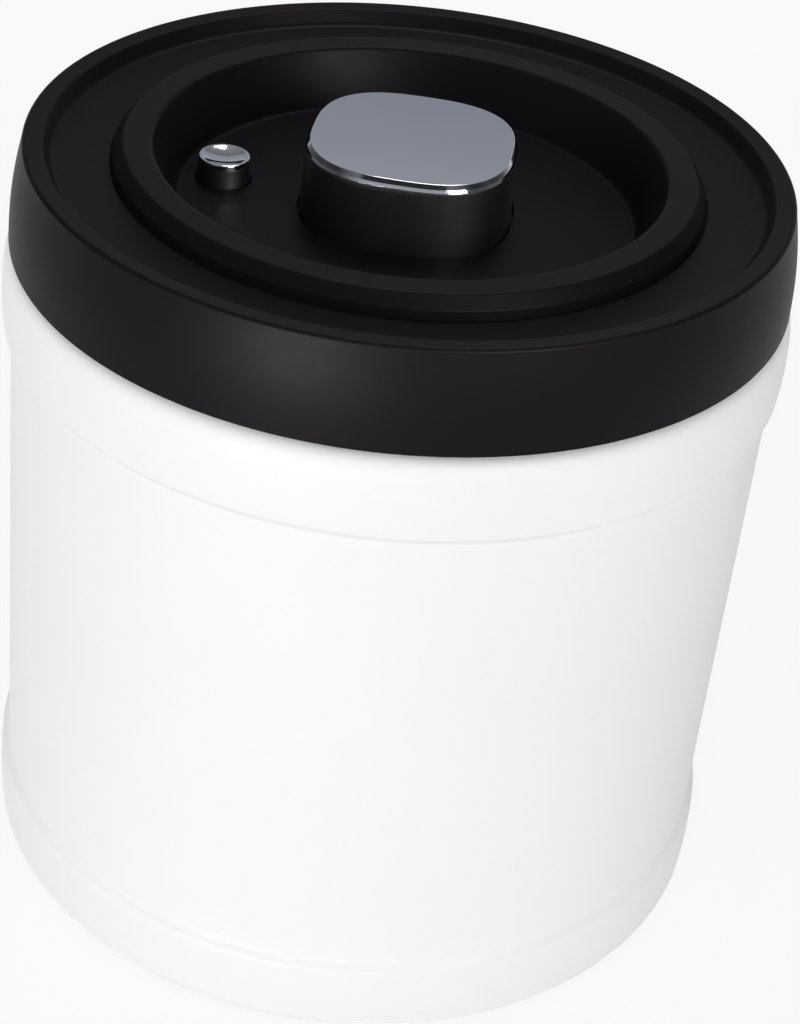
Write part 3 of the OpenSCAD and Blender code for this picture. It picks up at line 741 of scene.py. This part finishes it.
def capOutline():
    v = valve
    dishRadius = v["capRadius"] - v["rim"]
    dish = [(dishRadius * (1 - s), v["capTop"] - v["dish"] * (1 - (1 - s) ** 2))
            for s in (k / v["dishSteps"] for k in range(v["dishSteps"] + 1))]
    return rounded([
        (0, v["seatLow"]), (v["seatRadius"], v["seatLow"], v["seatRound"]), (v["seatRadius"], v["lipLow"]),
        (v["capRadius"] - v["capLean"], v["lipLow"], v["lipRound"]),
        (v["capRadius"], v["capTop"], v["capRound"]), dish[0]], 6)[:-1] + dish


def stemOutline():
    v = valve
    seatSide = v["seatRadius"] + v["seatGap"]
    return rounded([
        (0, v["tail"]), (v["shaft"], v["tail"], v["shaftRound"]), (v["shaft"], v["clipLow"]),
        (v["clipNeck"], v["clipLow"]), (v["clipNeck"], v["sealLow"]), (v["shaft"], v["sealLow"]),
        (v["shaft"], v["headLow"], v["shaftRound"]), (v["footRadius"], v["headLow"], v["shaftRound"]),
        (v["footRadius"], v["floor"], v["floorRound"]), (v["headRadius"], v["lipLow"], v["lipRound"]),
        (seatSide, v["lipLow"], v["seatEdge"]), (seatSide, v["seatLow"]), (0, v["seatLow"])], 4)


releaseCap = turned("release_cap_dish", capOutline(), chrome, valve["segments"], centre=release)
seat(releaseCap, "release_button", ["release_cap"])
releaseStem = turned("release_stem_turned", stemOutline(), buttonBlack, valve["segments"], centre=release)
seat(releaseStem, "release_button", ["release_stem"])
print("release button made")


# Gasket. The fin shares are heights within one fin's pitch

gasket = {
    "bottom": 114.25, "top": 118.75, "groove": 56.25, "plug": 57.3, "edge": 0.1, "root": 0.15,
    "fin": 58.1, "fins": 3, "finFall": 0.02, "finRound": 0.12,
    "finLow": 0.45, "finHigh": 0.62, "finEnd": 0.75,
}


def gasketOutline():
    g = gasket
    pitch = (g["top"] - g["bottom"]) / g["fins"]
    corners = [(g["groove"], g["bottom"], g["edge"]), (g["plug"], g["bottom"], g["edge"])]
    for k in range(g["fins"]):
        low = g["bottom"] + pitch * k
        corners += [(g["fin"], low + pitch * g["finLow"], g["finRound"]),
                    (g["fin"] - g["finFall"], low + pitch * g["finHigh"], g["finRound"]),
                    (g["plug"], low + pitch * g["finEnd"], g["root"])]
        if k < g["fins"] - 1:
            corners.append((g["plug"], low + pitch, g["root"]))
    corners += [(g["plug"], g["top"], g["edge"]), (g["groove"], g["top"], g["edge"])]
    return rounded(corners, 4)


finRing = turned("gasket_ring", gasketOutline(), silicone)
seat(finRing, "lid", ["lid_gasket"])
print("gasket made")


# Screws. The recess is given as shares of the head, and the thread's ridges as shares of its pitch

def ringTree():
    # copies the object's own mesh round a circle, each copy turned by a seeded random angle
    tree, given = newTree("screw ring", {
        "Count": "Int", "Circle Radius": "Float", "Start Angle": "Float", "Height": "Float",
        "Turn Seed": "Int", "Material": "Material"})
    places = add(tree, "GeometryNodeMeshCircle", {
        "Vertices": given["Count"], "Radius": given["Circle Radius"]})
    turn = add(tree, "FunctionNodeRandomValue", {"Seed": given["Turn Seed"]}, data_type="FLOAT")
    turn.inputs[3].default_value = math.pi / 2
    spin = xyz(tree, {2: turn.outputs[1]})
    copies = add(tree, "GeometryNodeInstanceOnPoints", {
        "Points": places.outputs[0], "Instance": given["Geometry"],
        "Rotation": out(tree, "FunctionNodeEulerToRotation", {0: spin})})
    moved = out(tree, "GeometryNodeTransform", {
        "Geometry": copies.outputs[0],
        "Translation": xyz(tree, {2: given["Height"]}),
        "Rotation": xyz(tree, {2: given["Start Angle"]})})
    endTree(tree, moved, given["Material"])
    return tree


screwRing = ringTree()
screwShape = {
    "root": 0.8, "pitch": 0.9, "tip": 1.2, "ridgeLow": 0.15, "ridgeTop": 0.5, "ridgeHigh": 0.85,
    "recessWidth": 0.55, "recessReach": 0.56, "recessDepth": 0.7, "recessTaper": 0.55, "recessOver": 0.5,
    "headSteps": 8, "segments": 32, "sharpAngle": 40,
}
lidScrew = {"radius": 1.45, "length": 10, "head": 2.7, "headHeight": 1.6, "count": 6, "ring": 50.0,
            "start": 0.0, "height": 104.35, "seed": 4}
pumpScrew = {"radius": 1.2, "length": 4.4, "head": 2.2, "headHeight": 1.3, "count": 3, "ring": 21.5,
             "start": 90.0, "height": 102.75, "seed": 7}


def recessWing(angle, head, headHeight):
    # one bar of the cross recess, narrower at its floor
    s = screwShape
    reach, half, depth = head * s["recessReach"], s["recessWidth"] / 2, headHeight * s["recessDepth"]
    ends = ((-headHeight - s["recessOver"], 1), (-headHeight + depth, s["recessTaper"]))
    corners = [(x * reach * t, y * half, z) for z, t in ends
               for x, y in ((-1, -1), (1, -1), (1, 1), (-1, 1))]
    spin = Matrix.Rotation(angle, 3, "Z")
    mesh = bpy.data.meshes.new("wing")
    mesh.from_pydata([tuple(spin @ Vector(c) * mm) for c in corners], [], [
        (3, 2, 1, 0), (4, 5, 6, 7), (0, 1, 5, 4), (1, 2, 6, 5), (2, 3, 7, 6), (3, 0, 4, 7)])
    wing = newObject("wing", mesh)
    facingOut(wing)
    return wing


def panScrew(radius, length, head, headHeight):
    # head down, with the seat under its head at height 0, and thread as ridges
    s = screwShape
    root = radius * s["root"]
    outline = [(0, -headHeight)] + arc((head - headHeight, 0), headHeight, -90, 0, s["headSteps"])
    outline.append((root, 0))
    for k in range(int((length - s["tip"]) / s["pitch"])):
        outline += [(root, s["pitch"] * (k + s["ridgeLow"])), (radius, s["pitch"] * (k + s["ridgeTop"])),
                    (root, s["pitch"] * (k + s["ridgeHigh"]))]
    outline += [(root, length - s["tip"]), (0, length)]
    screw = turned("screw", outline, screwSteel, s["segments"])
    for angle in (0, math.pi / 2):
        combine(screw, recessWing(angle, head, headHeight), "DIFFERENCE")
    mesh = screw.data
    bpy.data.objects.remove(screw)
    return mesh


def screwSet(name, values, nodeName):
    mesh = panScrew(values["radius"], values["length"], values["head"], values["headHeight"])
    screws = grow(name, mesh, screwRing, {
        "Count": values["count"], "Circle Radius": values["ring"] * mm,
        "Start Angle": math.radians(values["start"]), "Height": values["height"] * mm,
        "Turn Seed": values["seed"], "Material": screwSteel})
    shadeByAngle(screws, screwShape["sharpAngle"])
    seat(screws, "lid", [nodeName])


screwSet("lid_screw_set", lidScrew, "lid_screws")
screwSet("pump_screw_set", pumpScrew, "pump_screws")
print("screws made")


# Dust screen

screen = {
    "bottom": 94.8, "top": 102.25, "outer": 15.25, "inner": 14.05, "ledge": 13.05, "ledgeTop": 98.6,
    "thickness": 1.2, "rows": 3, "rowStep": 3.6, "perRow": 6, "hole": 1.4, "overlap": 0.2,
    "lowRound": 0.5, "edge": 0.2, "ledgeRound": 0.1, "segments": 128, "holeSegments": 20,
}


def screenTree():
    # a disc with rings of round holes, given its thickness by an extrusion
    tree, given = newTree("perforated disc", {
        "Disc Radius": "Float", "Hole Radius": "Float", "Row Step": "Float",
        "Thickness": "Float", "Height": "Float", "Material": "Material"})
    edge = circle(tree, screen["segments"], given["Disc Radius"])
    hole = circle(tree, screen["holeSegments"], given["Hole Radius"])
    outlines = add(tree, "GeometryNodeJoinGeometry")
    tree.links.new(edge, outlines.inputs[0])
    for row in range(1, screen["rows"] + 1):
        ring = out(tree, "GeometryNodeMeshCircle", {
            "Vertices": row * screen["perRow"],
            "Radius": calc(tree, "MULTIPLY", given["Row Step"], float(row))})
        copies = out(tree, "GeometryNodeInstanceOnPoints", {
            "Points": ring, "Instance": hole})
        tree.links.new(copies, outlines.inputs[0])
    real = out(tree, "GeometryNodeRealizeInstances", {0: outlines.outputs[0]})
    flat = out(tree, "GeometryNodeFillCurve", {0: real}, mode="TRIANGLES")
    rise = xyz(tree, {2: given["Height"]})
    level = out(tree, "GeometryNodeTransform", {"Geometry": flat, "Translation": rise})
    up = xyz(tree, {2: 1.0})
    raised = out(tree, "GeometryNodeExtrudeMesh", {
        "Mesh": level, "Offset": up, "Offset Scale": given["Thickness"],
        "Individual": False}, mode="FACES")
    under = out(tree, "GeometryNodeFlipFaces", {0: level})
    both = add(tree, "GeometryNodeJoinGeometry")
    tree.links.new(raised, both.inputs[0])
    tree.links.new(under, both.inputs[0])
    closed = out(tree, "GeometryNodeMergeByDistance", {"Geometry": both.outputs[0], "Distance": tiny})
    endTree(tree, closed, given["Material"])
    return tree


def screenPiece():
    s = screen
    disc = grow("dust_cap", bpy.data.meshes.new("disc"), screenTree(), {
        "Disc Radius": s["ledge"] * mm, "Hole Radius": s["hole"] / 2 * mm, "Row Step": s["rowStep"] * mm,
        "Thickness": s["thickness"] * mm, "Height": s["bottom"] * mm, "Material": baseGrey})
    facingOut(disc)
    inner, discTop = s["ledge"] - s["overlap"], s["bottom"] + s["thickness"]
    wall = turned("dust_wall", rounded([
        (inner, s["bottom"]), (s["outer"], s["bottom"], s["lowRound"]), (s["outer"], s["top"], s["edge"]),
        (s["inner"], s["top"], s["edge"]), (s["inner"], s["ledgeTop"], s["ledgeRound"]),
        (s["ledge"], s["ledgeTop"], s["edge"]), (s["ledge"], discTop, s["edge"]), (inner, discTop)]),
        baseGrey, s["segments"])
    combine(disc, wall, "UNION")
    return disc


dustCap = screenPiece()
shadeByAngle(dustCap)
seat(dustCap, "lid", ["dust_screen"])
print("dust screen made")


# Springs

pumpCoil = {
    "turns": 5, "coil": 9.6, "wire": 0.8, "low": 100.4, "high": 113.9, "travel": 8.5, "closed": 0.16,
}
releaseCoil = {
    "turns": 5, "coil": 3.2, "wire": 0.5, "low": 106.35, "high": 114.35, "travel": 2.0, "closed": 0.16,
}


def springTree():
    # a wire helix whose end turns lie closed, with hair gaps between the touching turns
    hairGap = 1.05
    turnSteps, wireSteps = 32, 14
    tree, given = newTree("spring", {
        "Turns": "Float", "Coil Radius": "Float", "Wire Radius": "Float", "Length": "Float",
        "Closed Share": "Float", "Centre": "Vector", "Material": "Material"})
    helix = add(tree, "GeometryNodeCurveSpiral", {
        "Resolution": turnSteps, "Rotations": given["Turns"], "Start Radius": given["Coil Radius"],
        "End Radius": given["Coil Radius"], "Height": 0.0})
    along = add(tree, "GeometryNodeSplineParameter").outputs["Factor"]
    wire = given["Wire Radius"]
    flat = given["Closed Share"]
    flatEnd = calc(tree, "SUBTRACT", 1.0, flat)
    lowest = calc(tree, "MULTIPLY", wire, hairGap)
    lowRise = calc(tree, "MULTIPLY", wire, 2 * hairGap)
    span = calc(tree, "SUBTRACT", given["Length"], lowRise)
    openRise = calc(tree, "SUBTRACT", span, calc(tree, "MULTIPLY", lowRise, 2.0))
    first = ranged(tree, along, 0.0, lowRise, 0.0, flat)
    middle = ranged(tree, along, 0.0, openRise, flat, flatEnd)
    last = ranged(tree, along, 0.0, lowRise, flatEnd, 1.0)
    height = calc(tree, "ADD", lowest, calc(tree, "ADD", first, calc(tree, "ADD", middle, last)))
    place = parts(tree, out(tree, "GeometryNodeInputPosition"))
    shaped = out(tree, "GeometryNodeSetPosition", {
        "Geometry": helix.outputs[0], "Offset": given["Centre"],
        "Position": xyz(tree, {0: place[0], 1: place[1], 2: height})})
    section = circle(tree, wireSteps, wire)
    drawn = out(tree, "GeometryNodeCurveToMesh", {
        "Curve": shaped, "Profile Curve": section, "Fill Caps": True})
    smooth = out(tree, "GeometryNodeSetShadeSmooth", {"Geometry": drawn})
    endTree(tree, smooth, given["Material"])
    return tree


spring = springTree()


def springPiece(name, values, centre, nodeName):
    # a coil that spans from its low end to its high end
    length = values["high"] - values["low"]
    coil = grow(name, bpy.data.meshes.new(name), spring, {
        "Turns": float(values["turns"]), "Coil Radius": values["coil"] * mm,
        "Wire Radius": values["wire"] / 2 * mm, "Length": length * mm, "Closed Share": values["closed"],
        "Centre": Vector((*centre[:2], values["low"])) * mm, "Material": screwSteel})
    facingOut(coil, True)
    seat(coil, "lid", [nodeName])
    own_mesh(coil)


springPiece("pump_coil", pumpCoil, (0, 0), "pump_spring")
springPiece("release_coil", releaseCoil, release, "release_spring")
print("springs made")


# The moulded inner pieces keep their modelled shapes, with merged and softly shaded faces

innerPieces = {
    "lid_plug": ("lid_base", baseGrey, "lid", "base_grey"),
    "pump_barrel": ("pump_cylinder", pumpWhite, "lid", "pump_white"),
    "barrel_ring": ("cylinder_ring", silicone, "lid", "silicone"),
    "umbrella_valve": ("inlet_valve", silicone, "lid", "silicone"),
    "piston_disc": ("pump_piston", pumpWhite, "push_button", "pump_white"),
    "piston_seal": ("piston_ring", silicone, "push_button", "silicone"),
    "piston_flap": ("exhaust_flap", silicone, "push_button", "silicone"),
    "piston_bolt": ("piston_screw", screwSteel, "push_button", "bare_steel"),
    "air_seal": ("release_seal", silicone, "release_button", "silicone"),
    "air_seal_clip": ("release_clip", screwSteel, "release_button", "bare_steel"),
}


def softCopy(name, nodeName, material, body, slotName):
    piece = newObject(name, nodes[nodeName].data.copy())
    piece.data.materials.clear()
    piece.data.materials.append(material)
    facingOut(piece, True)
    shadeLevels(piece)
    seat(piece, body, [nodeName])


for name, values in innerPieces.items():
    softCopy(name, *values)
print("inner pieces made")


# Studio. The room is what glossy surfaces see: its colour goes by the height of the direction

studio = {
    "floorSize": 6.0, "floorColour": (0.8, 0.8, 0.8), "whiteShare": 0.87, "whiteFade": (0.2, 0.9),
    "floorSockets": {"Roughness": 0.9, "Specular IOR Level": 0.1}, "worldLevel": 0.4,
    "room": [(0.0, (0.8, 0.8, 0.8)), (0.14, (0.62, 0.63, 0.65)), (0.28, (0.36, 0.375, 0.42)),
             (0.4, (0.26, 0.282, 0.333)), (0.425, (0.285, 0.305, 0.355)), (0.45, (0.345, 0.358, 0.41)),
             (0.6, (0.16, 0.16, 0.18)), (0.8, (0.25, 0.25, 0.27))],
    "sideShade": 0.15, "sideFade": (0.35, 0.75),
    "frontShade": 0.12, "frontFade": (0.5, 0.6), "frontWidth": (0.34, 0.42), "frontHeight": (0.36, 0.42),
}


def floorMaterial():
    # white to the camera and in reflections, while the shadow near the object stays
    material, tree, shader = newMaterial("studio floor", studio["floorColour"], studio["floorSockets"])
    path = add(tree, "ShaderNodeLightPath").outputs
    seen = calc(tree, "MAXIMUM", calc(tree, "MAXIMUM", path["Is Camera Ray"], path["Is Glossy Ray"]),
                path["Is Transmission Ray"])
    away = add(tree, "ShaderNodeVectorMath", {0: objectPlace(tree)}, operation="LENGTH").outputs["Value"]
    whiter = ranged(tree, away, studio["whiteShare"], 1.0, *studio["whiteFade"])
    glow = out(tree, "ShaderNodeEmission", {"Color": (1, 1, 1, 1), "Strength": 1.0})
    mix = out(tree, "ShaderNodeMixShader", {
        0: calc(tree, "MULTIPLY", seen, whiter), 1: shader.outputs[0], 2: glow})
    tree.links.new(mix, tree.nodes["Material Output"].inputs["Surface"])
    return material


def studioFloor():
    half = studio["floorSize"] / 2
    corners = [(-half, -half, 0), (half, -half, 0), (half, half, 0), (-half, half, 0)]
    mesh = bpy.data.meshes.new("studio_floor")
    mesh.from_pydata(corners, [], [(0, 1, 2, 3)])
    mesh.materials.append(floorMaterial())
    floor = newObject("studio_floor", mesh)


def roomStrength(tree, direction):
    # dimmer at both sides, and high up in front, where a photographer stands
    across = calc(tree, "ABSOLUTE", direction[0])
    sides = ranged(tree, across, 1.0, studio["sideShade"], *studio["sideFade"])
    ahead = ranged(tree, calc(tree, "MULTIPLY", direction[1], -1.0), 0.0, 1.0, *studio["frontFade"])
    middle = ranged(tree, across, 1.0, 0.0, *studio["frontWidth"])
    raised = ranged(tree, direction[2], 0.0, 1.0, *studio["frontHeight"])
    patch = calc(tree, "MULTIPLY", ahead, calc(tree, "MULTIPLY", middle, raised))
    return calc(tree, "MULTIPLY", sides, ranged(tree, patch, 1.0, studio["frontShade"], 0.0, 1.0))


def world():
    # white to the camera, the room to glossy surfaces and an even level for all else
    made = bpy.data.worlds.new("studio")
    bpy.context.scene.world = made
    made.use_nodes = True
    tree = made.node_tree
    even = tree.nodes["Background"]
    even.inputs["Color"].default_value = (1, 1, 1, 1)
    even.inputs["Strength"].default_value = studio["worldLevel"]
    direction = parts(tree, add(tree, "ShaderNodeTexCoord").outputs["Generated"])
    ramp = add(tree, "ShaderNodeValToRGB", {0: direction[2]})
    stops = ramp.color_ramp.elements
    stops[1].position = studio["room"][-1][0]
    for height, colour in studio["room"][1:-1]:
        stops.new(height)
    for stop, (height, colour) in zip(stops, studio["room"]):
        stop.color = (*colour, 1)
    room = add(tree, "ShaderNodeBackground", {
        "Color": ramp.outputs[0], "Strength": roomStrength(tree, direction)})
    white = add(tree, "ShaderNodeBackground", {"Color": (1, 1, 1, 1), "Strength": 1.0})
    path = add(tree, "ShaderNodeLightPath").outputs
    glossy = add(tree, "ShaderNodeMixShader", {
        0: path["Is Glossy Ray"], 1: even.outputs[0], 2: room.outputs[0]})
    mix = out(tree, "ShaderNodeMixShader", {
        0: path["Is Camera Ray"], 1: glossy.outputs[0], 2: white.outputs[0]})
    tree.links.new(mix, tree.nodes["World Output"].inputs["Surface"])


def softbox(name, azimuth, elevation, distance, size, power, target, matt, glossy):
    # a lamp on a circle round the object, where azimuth 0 stands in front and 90 to the right
    turn, lift = math.radians(azimuth), math.radians(elevation)
    away = Vector((math.sin(turn) * math.cos(lift), -math.cos(turn) * math.cos(lift), math.sin(lift)))
    data = bpy.data.lights.new(name, "AREA")
    data.shape = "RECTANGLE"
    data.size, data.size_y = size
    data.energy = power
    light = newObject(name, data)
    light.location = Vector(target) + away * distance
    light.rotation_mode = "QUATERNION"
    light.rotation_quaternion = (-away).to_track_quat("-Z", "Y")
    light.visible_diffuse = matt
    light.visible_glossy = glossy


# the matt lamps light the object, and the shine lamps only give highlights
mattLamp = {"distance": 1.1, "size": (0.6, 0.6), "target": (0, 0, 0.07), "matt": True, "glossy": False}
shineLamp = {"distance": 0.8, "target": (0, 0, 0.12), "matt": False, "glossy": True}
lights = {
    "front": {**mattLamp, "azimuth": 6, "elevation": 6, "power": 4.45},
    "left": {**mattLamp, "azimuth": -70, "elevation": 10, "power": 3.8},
    "right": {**mattLamp, "azimuth": 42, "elevation": 14, "power": 2.6},
    "top": {**mattLamp, "azimuth": 0, "elevation": 88, "power": 1.9},
    "lowShine": {**shineLamp, "azimuth": -18, "elevation": -4, "size": (0.3, 0.11), "power": 8.4},
    "sideShine": {**shineLamp, "azimuth": 42, "elevation": 22, "size": (0.32, 0.26), "power": 6.0},
    "backShine": {**shineLamp, "azimuth": 180, "elevation": 62, "size": (0.25, 0.25), "power": 2.2},
}
studioFloor()
world()
for name, values in lights.items():
    softbox(name, **values)


# Camera at the photograph's viewing angle. The photograph is 800 by 1024 pixels.

photo = {
    "long": 1024, "width": 800, "focal": 2394.1, "middleX": 360.75, "middleY": 532.5,
    "distance": 345.95, "height": 293.58, "swing": 5.9, "yaw": -0.303, "pitch": -34.44, "roll": 5.914,
    "sensor": 36, "near": 0.01, "far": 20,
}


def photoCamera():
    p = photo
    swing, yaw = math.radians(p["swing"]), math.radians(p["yaw"] - p["swing"])
    pitch, roll = math.radians(p["pitch"]), math.radians(p["roll"])
    ahead = Vector((math.sin(yaw) * math.cos(pitch), math.cos(yaw) * math.cos(pitch), math.sin(pitch)))
    level = Vector((math.cos(yaw), -math.sin(yaw), 0))
    upright = level.cross(ahead)
    right = level * math.cos(roll) + upright * math.sin(roll)
    up = upright * math.cos(roll) - level * math.sin(roll)
    data = bpy.data.cameras.new("camera")
    data.sensor_width = p["sensor"]
    data.lens = p["sensor"] * p["focal"] / p["long"]
    data.shift_x = (p["width"] / 2 - p["middleX"]) / p["long"]
    data.shift_y = (p["middleY"] - p["long"] / 2) / p["long"]
    data.clip_start, data.clip_end = p["near"], p["far"]
    camera = newObject("camera", data)
    turn = Matrix((right, up, -ahead)).transposed().to_4x4()
    spot = Vector((math.sin(swing) * p["distance"], -math.cos(swing) * p["distance"], p["height"])) * mm
    camera.matrix_world = Matrix.Translation(spot) @ turn
    bpy.context.scene.camera = camera


photoCamera()
bpy.context.scene.view_settings.view_transform = "Standard"
print("studio made")
